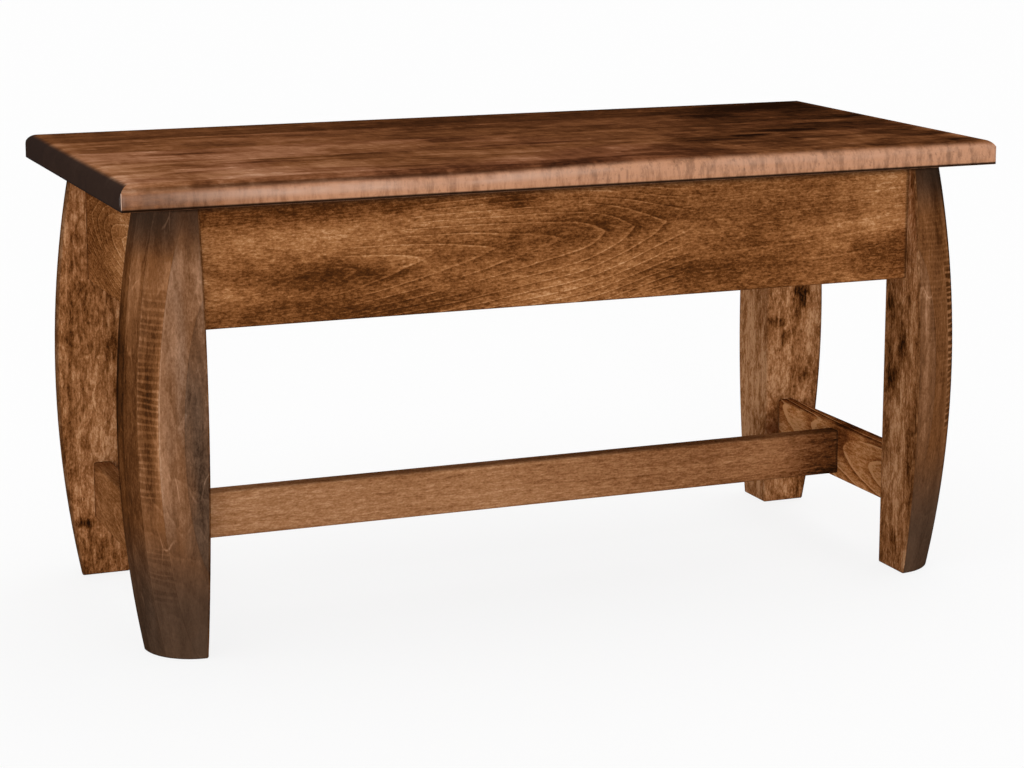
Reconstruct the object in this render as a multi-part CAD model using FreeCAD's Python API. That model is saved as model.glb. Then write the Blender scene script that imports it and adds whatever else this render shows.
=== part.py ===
"""Bed bench: a glued-up plank seat on four bowed quarter-round legs.

Aprons and low stretchers are tenoned into the legs. Millimetres, +Z up, +X along the seat, front towards -Y.
The origin is on the floor under the middle of the seat.
"""

import FreeCAD
import Part
import math
import os

from FreeCAD import Vector

# Seat: boards glued edge to edge, with a rounded-over top edge and an eased lower edge
SEAT_LENGTH = 908.0
SEAT_THICKNESS = 25.0
FRONT_BOARD_WIDTH = 141.0
FRONT_INNER_BOARD_WIDTH = 92.0
REAR_INNER_BOARD_WIDTH = 100.0
REAR_BOARD_WIDTH = 90.0
SEAT_ROUNDOVER = 12.0
SEAT_LOWER_EASE = 2.5
SEAT_CORNER_RADIUS = 4.0
SEAT_OVERHANG = 30.0

# Legs: a quarter-round in plan, swelling from both ends to a belly at mid height
LEG_HEIGHT = 432.0
LEG_END_RADIUS = 50.0
LEG_BELLY_RADIUS = 71.0
LEG_EDGE_EASE = 2.0

# Aprons: reveals are how far their outer faces lie behind the leg's widest point at its top
APRON_HEIGHT = 119.0
APRON_THICKNESS = 19.0
LONG_APRON_REVEAL = 9.0
END_REVEAL = 14.5
APRON_EDGE_EASE = 2.0

# Stretchers: the end ones stand under the end aprons, the long one runs between them
STRETCHER_THICKNESS = 19.0
END_STRETCHER_HEIGHT = 60.0
END_STRETCHER_LIFT = 60.5
LONG_STRETCHER_HEIGHT = 48.0
LONG_STRETCHER_LIFT = 66.5
STRETCHER_EDGE_EASE = 3.0

# Mortise and tenon joints
TENON_THICKNESS = 9.0
LONG_TENON_LENGTH = 22.0
APRON_TENON_SHOULDER = 14.0
STRETCHER_TENON_SHOULDER = 9.0
LONG_STRETCHER_TENON_LENGTH = 10.0
MORTISE_WALL = 6.0
JOINT_CLEARANCE = 0.1
GLUE_SPACE = 1.0

# Corner blocks: diagonal braces behind the legs, just under the seat
BLOCK_THICKNESS = 22.0
BLOCK_HEIGHT = 55.0
BLOCK_LEG_GAP = 3.0

# Leg screws: countersunk, through a corner block into the inner corner of a leg
LEG_SCREW_LENGTH = 48.0
LEG_SCREW_RADIUS = 2.2
LEG_SCREW_HEAD_RADIUS = 4.6
LEG_SCREW_HEAD_HEIGHT = 3.2

# Seat clips: bent steel, with a tongue in a slot of the apron and a tab under the seat
CLIP_SHEET = 1.6
CLIP_WIDTH = 20.0
CLIP_TAB_LENGTH = 19.0
CLIP_TONGUE_REACH = 8.0
CLIP_APRON_GAP = 1.5
CLIP_SPACING = 380.0
SLOT_DROP = 11.0
SLOT_HEIGHT = 3.2
SLOT_DEPTH = 10.0
SLOT_LENGTH = 34.0

# Clip screws: pan head, up through the tab into the seat
CLIP_SCREW_LENGTH = 16.0
CLIP_SCREW_RADIUS = 2.0
CLIP_SCREW_HEAD_RADIUS = 4.0
CLIP_SCREW_HEAD_HEIGHT = 2.6

# Screws in general
SCREW_TIP = 5.0
SCREW_CLEARANCE = 0.1
DRIVE_WIDTH = 2.6
DRIVE_DEPTH = 1.8

# Places that follow from the sizes above
SEAT_BOARDS = (
    ("seat_board_front", FRONT_BOARD_WIDTH),
    ("seat_board_front_inner", FRONT_INNER_BOARD_WIDTH),
    ("seat_board_rear_inner", REAR_INNER_BOARD_WIDTH),
    ("seat_board_rear", REAR_BOARD_WIDTH),
)
SEAT_DEPTH = sum(width for _, width in SEAT_BOARDS)
SEAT_TOP = LEG_HEIGHT + SEAT_THICKNESS
LEG_X = SEAT_LENGTH / 2 - SEAT_OVERHANG - LEG_END_RADIUS
LEG_Y = SEAT_DEPTH / 2 - SEAT_OVERHANG - LEG_END_RADIUS
APRON_BOTTOM = LEG_HEIGHT - APRON_HEIGHT
LONG_APRON_FACE = LEG_Y + LEG_END_RADIUS - LONG_APRON_REVEAL
LONG_APRON_BACK = LONG_APRON_FACE - APRON_THICKNESS
END_FACE = LEG_X + LEG_END_RADIUS - END_REVEAL
END_APRON_BACK = END_FACE - APRON_THICKNESS
END_STRETCHER_BACK = END_FACE - STRETCHER_THICKNESS
BLOCK_BOTTOM = LEG_HEIGHT - BLOCK_HEIGHT
SLOT_TOP = LEG_HEIGHT - SLOT_DROP

# Tenons in a leg: the end ones stop short of the side of the long apron's mortise
LONG_TENON_CENTRE = LONG_APRON_FACE - APRON_THICKNESS / 2
END_APRON_TENON_CENTRE = END_FACE - APRON_THICKNESS / 2
END_STRETCHER_TENON_CENTRE = END_FACE - STRETCHER_THICKNESS / 2
LONG_TENON_SIDE = LONG_TENON_CENTRE - TENON_THICKNESS / 2 - LEG_Y
END_TENON_LENGTH = LONG_TENON_SIDE - MORTISE_WALL

ORIGIN = Vector(0, 0, 0)
X_AXIS = Vector(1, 0, 0)
Y_AXIS = Vector(0, 1, 0)
Z_AXIS = Vector(0, 0, 1)

# The corner pieces are drawn at the rear right corner, and mirrored to the others
CORNERS = {
    "front_left": (-1, -1),
    "front_right": (1, -1),
    "rear_left": (-1, 1),
    "rear_right": (1, 1),
}


def block(x_span, y_span, z_span):
    """A box between two limits along each axis."""
    lows, highs = zip(x_span, y_span, z_span)
    sizes = [high - low for low, high in zip(lows, highs)]
    return Part.makeBox(*sizes, Vector(*lows))


def polygon_face(points):
    return Part.Face(Part.makePolygon([*points, points[0]]))


def mirrored(shape, side_x, side_y):
    """The shape, mirrored from the rear right corner to the corner on the given sides."""
    result = shape.copy()
    if side_x < 0:
        result = result.mirror(ORIGIN, X_AXIS)
    if side_y < 0:
        result = result.mirror(ORIGIN, Y_AXIS)
    return result


def both_ways(shape, axis):
    """The shape and its mirror image across the plane through the origin."""
    return [shape, shape.mirror(ORIGIN, axis)]


def eased(shape, axis, radius, below):
    """Rounds the straight edges that run along an axis and lie lower than the given height."""
    chosen = []
    for edge in shape.Edges:
        run = edge.Vertexes[-1].Point - edge.Vertexes[0].Point
        along = run.Length > 0 and abs(abs(run.dot(axis)) - run.Length) < 1e-6
        if along and edge.CenterOfMass.z < below:
            chosen.append(edge)
    return shape.makeFillet(radius, chosen)


def seat_prism(span, run):
    """A bar with the seat's edge profile on both sides: span wide along X and run long along Y."""
    half = span / 2
    top_flat = half - SEAT_ROUNDOVER
    low_flat = half - SEAT_LOWER_EASE
    side_top = SEAT_TOP - SEAT_ROUNDOVER
    side_low = LEG_HEIGHT + SEAT_LOWER_EASE
    top_bulge = SEAT_ROUNDOVER * math.sqrt(0.5)
    low_bulge = SEAT_LOWER_EASE * math.sqrt(0.5)

    def at(x, z):
        return Vector(x, -run / 2, z)

    edges = [Part.LineSegment(at(-low_flat, LEG_HEIGHT), at(low_flat, LEG_HEIGHT))]
    low_middle = at(low_flat + low_bulge, side_low - low_bulge)
    edges.append(Part.Arc(at(low_flat, LEG_HEIGHT), low_middle, at(half, side_low)))
    edges.append(Part.LineSegment(at(half, side_low), at(half, side_top)))
    top_middle = at(top_flat + top_bulge, side_top + top_bulge)
    edges.append(Part.Arc(at(half, side_top), top_middle, at(top_flat, SEAT_TOP)))
    edges.append(Part.LineSegment(at(top_flat, SEAT_TOP), at(-top_flat, SEAT_TOP)))
    top_middle = at(-top_flat - top_bulge, side_top + top_bulge)
    edges.append(Part.Arc(at(-top_flat, SEAT_TOP), top_middle, at(-half, side_top)))
    edges.append(Part.LineSegment(at(-half, side_top), at(-half, side_low)))
    low_middle = at(-low_flat - low_bulge, side_low - low_bulge)
    edges.append(Part.Arc(at(-half, side_low), low_middle, at(-low_flat, LEG_HEIGHT)))
    face = Part.Face(Part.Wire([edge.toShape() for edge in edges]))
    return face.extrude(Vector(0, run, 0))


def seat_boards(pilot_holes):
    """The seat slab, drilled from below for the clip screws and parted at the glue lines."""
    across = seat_prism(SEAT_DEPTH, SEAT_LENGTH)
    across.rotate(ORIGIN, Z_AXIS, 90)
    slab = seat_prism(SEAT_LENGTH, SEAT_DEPTH).common(across)
    plan = block(
        (-SEAT_LENGTH / 2, SEAT_LENGTH / 2), (-SEAT_DEPTH / 2, SEAT_DEPTH / 2), (LEG_HEIGHT, SEAT_TOP)
    )
    slab = slab.common(eased(plan, Z_AXIS, SEAT_CORNER_RADIUS, SEAT_TOP))
    slab = slab.cut(Part.makeCompound(pilot_holes))
    boards = {}
    front = -SEAT_DEPTH / 2
    for name, width in SEAT_BOARDS:
        strip = block((-SEAT_LENGTH, SEAT_LENGTH), (front, front + width), (LEG_HEIGHT, SEAT_TOP))
        boards[name] = slab.common(strip)
        front += width
    return boards


def long_apron_tenon(grow=0.0, deeper=0.0):
    """The tenon at the right end of the rear apron; grown, it is the mortise for it."""
    half = TENON_THICKNESS / 2 + grow
    return block(
        (LEG_X, LEG_X + LONG_TENON_LENGTH + deeper),
        (LONG_TENON_CENTRE - half, LONG_TENON_CENTRE + half),
        (APRON_BOTTOM + APRON_TENON_SHOULDER - grow, LEG_HEIGHT - APRON_TENON_SHOULDER + grow),
    )


def end_tenon(centre, low, high, grow=0.0, deeper=0.0):
    """The tenon at the rear end of a right-hand end piece; grown, it is the mortise for it."""
    half = TENON_THICKNESS / 2 + grow
    return block(
        (centre - half, centre + half),
        (LEG_Y, LEG_Y + END_TENON_LENGTH + deeper),
        (low - grow, high + grow),
    )


def end_apron_tenon(grow=0.0, deeper=0.0):
    low = APRON_BOTTOM + APRON_TENON_SHOULDER
    high = LEG_HEIGHT - APRON_TENON_SHOULDER
    return end_tenon(END_APRON_TENON_CENTRE, low, high, grow, deeper)


def end_stretcher_tenon(grow=0.0, deeper=0.0):
    low = END_STRETCHER_LIFT + STRETCHER_TENON_SHOULDER
    high = END_STRETCHER_LIFT + END_STRETCHER_HEIGHT - STRETCHER_TENON_SHOULDER
    return end_tenon(END_STRETCHER_TENON_CENTRE, low, high, grow, deeper)


def long_stretcher_tenon(grow=0.0, deeper=0.0):
    """The blind tenon at the right end of the long stretcher; grown, it is the mortise for it."""
    half = TENON_THICKNESS / 2 + grow
    low = LONG_STRETCHER_LIFT + STRETCHER_TENON_SHOULDER
    high = LONG_STRETCHER_LIFT + LONG_STRETCHER_HEIGHT - STRETCHER_TENON_SHOULDER
    return block(
        (END_STRETCHER_BACK, END_STRETCHER_BACK + LONG_STRETCHER_TENON_LENGTH + deeper),
        (-half, half),
        (low - grow, high + grow),
    )


def leg():
    """The rear right leg: an arc profile turned a quarter way about its inner corner, then mortised."""
    foot = Vector(LEG_END_RADIUS, 0, 0)
    belly = Vector(LEG_BELLY_RADIUS, 0, LEG_HEIGHT / 2)
    head = Vector(LEG_END_RADIUS, 0, LEG_HEIGHT)
    core_top = Vector(0, 0, LEG_HEIGHT)
    outline = [
        Part.LineSegment(ORIGIN, foot),
        Part.Arc(foot, belly, head),
        Part.LineSegment(head, core_top),
        Part.LineSegment(core_top, ORIGIN),
    ]
    profile = Part.Face(Part.Wire([edge.toShape() for edge in outline]))
    blank = profile.revolve(ORIGIN, Z_AXIS, 90)
    exposed = [edge for edge in blank.Edges if edge.CenterOfMass.z < LEG_HEIGHT - LEG_EDGE_EASE]
    blank = blank.makeFillet(LEG_EDGE_EASE, exposed)
    blank.translate(Vector(LEG_X, LEG_Y, 0))
    mortises = [
        long_apron_tenon(JOINT_CLEARANCE, GLUE_SPACE),
        end_apron_tenon(JOINT_CLEARANCE, GLUE_SPACE),
        end_stretcher_tenon(JOINT_CLEARANCE, GLUE_SPACE),
    ]
    return blank.cut([*mortises, leg_screw(SCREW_CLEARANCE)])


def long_apron(slots):
    """The rear apron, with a tenon at each end and slots for the seat clips."""
    board = block((-LEG_X, LEG_X), (LONG_APRON_BACK, LONG_APRON_FACE), (APRON_BOTTOM, LEG_HEIGHT))
    board = eased(board, X_AXIS, APRON_EDGE_EASE, LEG_HEIGHT - APRON_HEIGHT / 2)
    return board.fuse(both_ways(long_apron_tenon(), X_AXIS)).cut(slots)


def end_apron(slots):
    """The right-hand end apron, with a tenon at each end and a slot for its seat clip."""
    board = block((END_APRON_BACK, END_FACE), (-LEG_Y, LEG_Y), (APRON_BOTTOM, LEG_HEIGHT))
    board = eased(board, Y_AXIS, APRON_EDGE_EASE, LEG_HEIGHT - APRON_HEIGHT / 2)
    return board.fuse(both_ways(end_apron_tenon(), Y_AXIS)).cut(slots)


def end_stretcher():
    """The right-hand end stretcher, tenoned into its two legs and mortised for the long stretcher."""
    top = END_STRETCHER_LIFT + END_STRETCHER_HEIGHT
    bar = block((END_STRETCHER_BACK, END_FACE), (-LEG_Y, LEG_Y), (END_STRETCHER_LIFT, top))
    bar = eased(bar, Y_AXIS, STRETCHER_EDGE_EASE, LEG_HEIGHT)
    bar = bar.fuse(both_ways(end_stretcher_tenon(), Y_AXIS))
    return bar.cut(long_stretcher_tenon(JOINT_CLEARANCE, GLUE_SPACE))


def long_stretcher():
    top = LONG_STRETCHER_LIFT + LONG_STRETCHER_HEIGHT
    half = STRETCHER_THICKNESS / 2
    bar = block((-END_STRETCHER_BACK, END_STRETCHER_BACK), (-half, half), (LONG_STRETCHER_LIFT, top))
    bar = eased(bar, X_AXIS, STRETCHER_EDGE_EASE, LEG_HEIGHT)
    return bar.fuse(both_ways(long_stretcher_tenon(), X_AXIS))


def corner_block():
    """The rear right corner block: a diagonal brace whose ends lie flat on the two aprons."""
    outer = LEG_X + LEG_Y - BLOCK_LEG_GAP * math.sqrt(2)
    inner = outer - BLOCK_THICKNESS * math.sqrt(2)
    corners = [
        Vector(outer - LONG_APRON_BACK, LONG_APRON_BACK, BLOCK_BOTTOM),
        Vector(inner - LONG_APRON_BACK, LONG_APRON_BACK, BLOCK_BOTTOM),
        Vector(END_APRON_BACK, inner - END_APRON_BACK, BLOCK_BOTTOM),
        Vector(END_APRON_BACK, outer - END_APRON_BACK, BLOCK_BOTTOM),
    ]
    brace = polygon_face(corners).extrude(Vector(0, 0, BLOCK_HEIGHT))
    return brace.cut(leg_screw(SCREW_CLEARANCE))


def turned(points):
    """A solid of revolution about Z from its half outline, given as (radius, height) points."""
    face = polygon_face([Vector(radius, 0, height) for radius, height in points])
    return face.revolve(ORIGIN, Z_AXIS, 360)


def drive_recess(height):
    """The square socket that the driver bit enters, open towards -Z at the given height."""
    half = DRIVE_WIDTH / 2
    return block((-half, half), (-half, half), (height, height + DRIVE_DEPTH))


def leg_screw(grow=0.0):
    """The rear right leg screw; grown, it is the hole for it."""
    radius = LEG_SCREW_RADIUS + grow
    outline = [
        (0, 0),
        (LEG_SCREW_HEAD_RADIUS + grow, 0),
        (radius, LEG_SCREW_HEAD_HEIGHT),
        (radius, LEG_SCREW_LENGTH - SCREW_TIP + grow),
        (0, LEG_SCREW_LENGTH + grow),
    ]
    screw = turned(outline)
    if not grow:
        screw = screw.cut(drive_recess(0))
    diagonal = Vector(1, 1, 0).normalize()
    start = Vector(LEG_X, LEG_Y, BLOCK_BOTTOM + BLOCK_HEIGHT / 2)
    start -= diagonal * (BLOCK_LEG_GAP + BLOCK_THICKNESS)
    screw.Placement = FreeCAD.Placement(start, FreeCAD.Rotation(Z_AXIS, diagonal))
    return screw


def clip_stations():
    """Where the clips meet the aprons: the placement takes +Y to the way into the apron."""
    stations = {"front": [], "rear": [], "left": [], "right": []}
    for x in (-CLIP_SPACING / 2, CLIP_SPACING / 2):
        stations["front"].append((Vector(x, -LONG_APRON_BACK, 0), 180))
        stations["rear"].append((Vector(x, LONG_APRON_BACK, 0), 0))
    stations["left"].append((Vector(-END_APRON_BACK, 0, 0), 90))
    stations["right"].append((Vector(END_APRON_BACK, 0, 0), -90))
    return stations


def at_station(shape, station):
    place, angle = station
    result = shape.copy()
    result.Placement = FreeCAD.Placement(place, FreeCAD.Rotation(Z_AXIS, angle)).multiply(shape.Placement)
    return result


def clip_slot():
    half = SLOT_LENGTH / 2
    return block((-half, half), (0, SLOT_DEPTH), (SLOT_TOP - SLOT_HEIGHT, SLOT_TOP))


def clip_screw(grow=0.0):
    """A clip screw, with its head under the tab; grown, it is the pilot hole for it."""
    radius = CLIP_SCREW_RADIUS + grow
    dome = CLIP_SCREW_HEAD_RADIUS * 0.7
    under_tab = LEG_HEIGHT - CLIP_SHEET
    outline = [
        (0, -CLIP_SCREW_HEAD_HEIGHT),
        (dome, -CLIP_SCREW_HEAD_HEIGHT),
        (CLIP_SCREW_HEAD_RADIUS, -CLIP_SCREW_HEAD_HEIGHT / 2),
        (CLIP_SCREW_HEAD_RADIUS, 0),
        (radius, 0),
        (radius, CLIP_SCREW_LENGTH - SCREW_TIP + grow),
        (0, CLIP_SCREW_LENGTH + grow),
    ]
    screw = turned(outline)
    if not grow:
        screw = screw.cut(drive_recess(-CLIP_SCREW_HEAD_HEIGHT))
    screw.Placement.Base = Vector(0, -CLIP_APRON_GAP - CLIP_SHEET - CLIP_TAB_LENGTH / 2, under_tab)
    return screw


def seat_clip():
    """A clip bent from sheet in a Z: tongue in the apron's slot, riser, and tab under the seat."""
    riser_face = -CLIP_APRON_GAP
    riser_back = riser_face - CLIP_SHEET
    tab_end = riser_back - CLIP_TAB_LENGTH
    start = -CLIP_WIDTH / 2
    outline = [
        Vector(start, CLIP_TONGUE_REACH, SLOT_TOP - CLIP_SHEET),
        Vector(start, CLIP_TONGUE_REACH, SLOT_TOP),
        Vector(start, riser_face, SLOT_TOP),
        Vector(start, riser_face, LEG_HEIGHT),
        Vector(start, tab_end, LEG_HEIGHT),
        Vector(start, tab_end, LEG_HEIGHT - CLIP_SHEET),
        Vector(start, riser_back, LEG_HEIGHT - CLIP_SHEET),
        Vector(start, riser_back, SLOT_TOP - CLIP_SHEET),
    ]
    strip = polygon_face(outline).extrude(Vector(CLIP_WIDTH, 0, 0))
    return strip.cut(clip_screw(SCREW_CLEARANCE))


def bench_pieces():
    """Every piece of the bench by its name, in its place."""
    stations = clip_stations()
    everywhere = [station for side in stations.values() for station in side]
    slots = {side: [at_station(clip_slot(), station) for station in stations[side]] for side in stations}
    pilot_holes = [at_station(clip_screw(SCREW_CLEARANCE), station) for station in everywhere]

    pieces = seat_boards(pilot_holes)
    for corner, sides in CORNERS.items():
        pieces[f"leg_{corner}"] = mirrored(leg(), *sides)
        pieces[f"corner_block_{corner}"] = mirrored(corner_block(), *sides)
    rear_apron = long_apron(slots["rear"])
    pieces["apron_rear"] = rear_apron
    pieces["apron_front"] = mirrored(rear_apron, 1, -1)
    right_apron = end_apron(slots["right"])
    pieces["apron_right"] = right_apron
    pieces["apron_left"] = mirrored(right_apron, -1, 1)
    pieces["stretcher_right"] = end_stretcher()
    pieces["stretcher_left"] = mirrored(end_stretcher(), -1, 1)
    pieces["stretcher_long"] = long_stretcher()
    pieces["leg_screws"] = Part.makeCompound([mirrored(leg_screw(), *sides) for sides in CORNERS.values()])
    pieces["seat_clips"] = Part.makeCompound([at_station(seat_clip(), station) for station in everywhere])
    pieces["clip_screws"] = Part.makeCompound([at_station(clip_screw(), station) for station in everywhere])
    return pieces


def main():
    os.makedirs("parts", exist_ok=True)
    for name, shape in bench_pieces().items():
        shape.exportStep(f"parts/{name}.step")
        sizes = shape.BoundBox
        lengths = f"{sizes.XLength:.1f} x {sizes.YLength:.1f} x {sizes.ZLength:.1f} mm"
        print(f"{name}: {len(shape.Solids)} solid(s), valid {shape.isValid()}, {lengths}")


main()
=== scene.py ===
import math
from collections import namedtuple

import bpy
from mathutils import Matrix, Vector


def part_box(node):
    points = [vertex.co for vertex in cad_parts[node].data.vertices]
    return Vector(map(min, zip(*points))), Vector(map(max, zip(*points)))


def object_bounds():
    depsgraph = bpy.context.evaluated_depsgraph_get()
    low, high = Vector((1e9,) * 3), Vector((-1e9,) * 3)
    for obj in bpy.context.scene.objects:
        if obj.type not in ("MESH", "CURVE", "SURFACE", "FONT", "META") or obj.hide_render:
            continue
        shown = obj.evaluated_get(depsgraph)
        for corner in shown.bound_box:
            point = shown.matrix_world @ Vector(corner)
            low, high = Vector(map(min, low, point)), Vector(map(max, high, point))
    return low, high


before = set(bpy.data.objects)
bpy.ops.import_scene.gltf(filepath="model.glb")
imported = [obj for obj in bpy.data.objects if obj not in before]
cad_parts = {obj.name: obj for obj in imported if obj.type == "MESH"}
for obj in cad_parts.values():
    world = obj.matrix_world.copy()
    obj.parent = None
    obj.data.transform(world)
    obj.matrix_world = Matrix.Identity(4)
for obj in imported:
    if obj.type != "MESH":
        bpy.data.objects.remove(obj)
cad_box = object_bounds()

# Camera, fitted to the photograph's frame of 1024 by 768 pixels, with angles in degrees
IMAGE_WIDTH = 1024
FOCAL_PIXELS = 2575.3
SENSOR_WIDTH = 36.0
CAMERA_PLACE = (-0.9762, -2.4440, 0.7726)
CAMERA_YAW = 21.90
CAMERA_PITCH = 10.51
CAMERA_SHIFT = -0.08

# Studio light: each lamp's strength, and its angular size and direction in degrees
LAMPS = {
    "key_lamp": {"strength": 1.45, "angle": 14, "azimuth": -15, "elevation": 6},
    "fill_lamp": {"strength": 1.05, "angle": 90, "azimuth": -75, "elevation": 10},
    "top_lamp": {"strength": 0.35, "angle": 36, "azimuth": 110, "elevation": 60},
    "back_lamp": {"strength": 0.9, "angle": 70, "azimuth": 150, "elevation": 20},
    "ceiling_lamp": {"strength": 1.7, "angle": 100, "azimuth": 0, "elevation": 90},
}
AROUND_STRENGTH = 0.08
WHITE = (1, 1, 1, 1)

# Floor
FLOOR_RADIUS = 60.0
FLOOR_CORNERS = 96
FLOOR_GLOW = 0.85

# Shape of the bench in metres, from the frame
X_AXIS, Y_AXIS, Z_AXIS = 0, 1, 2
seat_low, seat_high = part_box("seat_board_front")
leg_low, leg_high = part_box("leg_front_right")
SEAT_TOP = seat_high.z
SEAT_BOTTOM = seat_low.z
SEAT_END = seat_high.x
SEAT_ROUNDOVER = 0.012
APRON_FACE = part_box("apron_front")[0].y
LEG_INNER_X = leg_low.x
LEG_INNER_Y = -leg_high.y
LEG_TOP = leg_high.z
LEG_BELLY_RADIUS = leg_high.x - leg_low.x
LEG_BOW = 0.021
STRETCHER_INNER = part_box("stretcher_right")[0].x

# Plies of a leg: the direction across them, and where the first one starts
PLY_THICKNESS = 0.0200
PLY_OFFSET = 0.0868
PLY_TURN = (0.174, -0.985)
THIN_PLIES = 2.0
PLAIN_GAP_HEIGHT = 0.134

# How far each seed and each draw move the noise along X, Y and Z
NOISE_SHIFTS = ((3.17, 7.31), (1.73, -5.07), (2.41, 0.0))

# A smudge or a knot: its centre, half its size along each axis and how much darker it is
Mark = namedtuple("Mark", "centre reach depth")
SEAT_MARK_THROUGH = 0.05
RAIL_MARK_THROUGH = 0.03
KNOT_RING_PUSH = 0.006


def linear(red, green, blue):
    """A colour written as 0 to 255 screen values, as Blender's linear colour."""
    def channel(value):
        share = value / 255
        return share / 12.92 if share <= 0.04045 else ((share + 0.055) / 1.055) ** 2.4
    return (channel(red), channel(green), channel(blue), 1.0)


# Stain colours from the darkest to the lightest tone, as screen values from 0 to 255
SEAT_STAIN = [(34, 17, 8), (80, 45, 23), (120, 74, 43), (158, 108, 74), (200, 152, 118)]
ROSE_STAIN = [(40, 19, 13), (88, 47, 31), (130, 78, 56), (170, 118, 94), (208, 166, 144)]
LEG_STAIN = [(34, 18, 8), (82, 46, 19), (122, 76, 41), (158, 107, 68), (194, 145, 104)]
# A greyish stain that also serves as the painted sheen on the legs' bowed faces
GREY_STAIN_AND_SHEEN = [(24, 18, 13), (58, 44, 34), (96, 75, 60), (142, 118, 101), (188, 166, 150)]
APRON_STAIN = [(62, 33, 13), (92, 52, 22), (132, 82, 44), (166, 112, 68), (200, 150, 106)]
END_RAIL_STAIN = [(50, 25, 10), (94, 50, 21), (140, 82, 42), (180, 115, 64), (214, 156, 104)]
STRETCHER_STAIN = [(40, 22, 10), (94, 54, 26), (138, 90, 55), (174, 123, 83), (206, 158, 118)]
BLOCK_STAIN = [(92, 62, 36), (150, 110, 70), (184, 144, 100), (208, 170, 126), (224, 190, 150)]
ZINC = [(150, 150, 148), (188, 188, 186), (214, 214, 212)]
PAPER = [(246, 246, 246), (250, 250, 250)]
END_GRAIN = linear(45, 35, 31)
# Dark burnish that also serves as painted shade, a painted shadow line, and a rubbed tan and a pale for wear
# that also paint sheen and a highlight
BURNISHED_AND_SHADE = linear(40, 22, 11)
PAINTED_SHADOW_LINE = linear(20, 9, 4)
RUBBED_AND_SHEEN = linear(186, 134, 101)
WORN_PALE_AND_HIGHLIGHT = linear(206, 172, 152)

# Gloss and relief: roughness from the smoothest to the roughest spot, and depths in metres
WOOD_GLOSS = 0.0
LACQUER_ROUGHNESS = 0.3
SEAT_ROUGHNESS = (0.5, 0.64)
FRAME_ROUGHNESS = (0.52, 0.68)
BLOCK_ROUGHNESS = (0.65, 0.85)
ZINC_ROUGHNESS = (0.28, 0.46)
GRAIN_DEPTH = 0.0004
SPANGLE_DEPTH = 0.00005


class Shader:
    """The nodes of a material or world, added by short calls that give back output sockets."""

    def __init__(self, owner):
        owner.use_nodes = True
        self.owner = owner
        self.nodes = owner.node_tree.nodes
        self.links = owner.node_tree.links
        self.nodes.clear()

    def add(self, kind, values, **settings):
        node = self.nodes.new(kind)
        for setting, value in settings.items():
            setattr(node, setting, value)
        for key, value in values.items():
            if isinstance(value, bpy.types.NodeSocket):
                self.links.new(value, node.inputs[key])
            else:
                node.inputs[key].default_value = value
        return node

    def math(self, operation, first, second=0.0, third=0.0):
        return self.add("ShaderNodeMath", {0: first, 1: second, 2: third}, operation=operation).outputs[0]

    def times(self, *factors):
        """The product of its factors."""
        product = factors[0]
        for factor in factors[1:]:
            product = self.math("MULTIPLY", product, factor)
        return product

    def straight(self, value, slope, start):
        """Start plus slope times value."""
        return self.math("MULTIPLY_ADD", value, slope, start)

    def opposite(self, share):
        """1 where share is 0, and 0 where it is 1."""
        return self.math("SUBTRACT", 1.0, share)

    def distance(self, value, centre):
        """How far a number is from its centre, on either side."""
        return self.math("ABSOLUTE", self.math("SUBTRACT", value, centre))

    def vector(self, operation, first, second=(0, 0, 0), third=(0, 0, 0)):
        values = {0: first, 1: second, 2: third}
        return self.add("ShaderNodeVectorMath", values, operation=operation).outputs["Vector"]

    def split(self, vector):
        return tuple(self.add("ShaderNodeSeparateXYZ", {0: vector}).outputs)

    def length(self, vector):
        return self.add("ShaderNodeVectorMath", {0: vector}, operation="LENGTH").outputs["Value"]

    def dot(self, first, second):
        values = {0: first, 1: second}
        return self.add("ShaderNodeVectorMath", values, operation="DOT_PRODUCT").outputs["Value"]

    def ease(self, value, start, end, low=0.0, high=1.0):
        """Goes smoothly from low to high as value goes from start to end."""
        values = {"Value": value, "From Min": start, "From Max": end, "To Min": low, "To Max": high}
        return self.add("ShaderNodeMapRange", values, interpolation_type="SMOOTHSTEP").outputs["Result"]

    def noise(self, place, detail=2.0, roughness=0.5, distortion=0.0):
        values = {"Vector": place, "Scale": 1.0, "Detail": detail}
        values.update({"Roughness": roughness, "Distortion": distortion})
        return self.add("ShaderNodeTexNoise", values).outputs[0]

    def scaled_noise(self, place, scale, detail=2.0, roughness=0.5):
        """Noise with its own number of features in a metre along each axis."""
        return self.noise(self.vector("MULTIPLY", place, scale), detail, roughness)

    def mix(self, share, first, second):
        values = {0: share, 6: first, 7: second}
        return self.add("ShaderNodeMix", values, data_type="RGBA").outputs[2]

    def ramp(self, value, shades):
        """Evenly spaced colours, written as screen values, as value goes from 0 to 1."""
        node = self.add("ShaderNodeValToRGB", {0: value})
        stops = node.color_ramp.elements
        while len(stops) < len(shades):
            stops.new(0.5)
        for index, shade in enumerate(shades):
            stops[index].position = index / (len(shades) - 1)
            stops[index].color = linear(*shade)
        return node.outputs["Color"]

    def seen(self):
        """1 for what the camera sees straight, mirrored or through glass, and 0 for what lights the bench."""
        path = self.add("ShaderNodeLightPath", {}).outputs
        mirrored = self.math("MAXIMUM", path["Is Glossy Ray"], path["Is Transmission Ray"])
        return self.math("MAXIMUM", path["Is Camera Ray"], mirrored)

    def close(self, colour, roughness, height, depth, **others):
        """Joins the colour, roughness, relief and other inputs to the surface."""
        bump = self.add("ShaderNodeBump", {"Height": height, "Distance": depth, "Strength": 1.0})
        values = {"Base Color": colour, "Roughness": roughness, "Normal": bump.outputs[0], **others}
        surface = self.add("ShaderNodeBsdfPrincipled", values)
        self.add("ShaderNodeOutputMaterial", {"Surface": surface.outputs[0]})
        return self.owner


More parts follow.
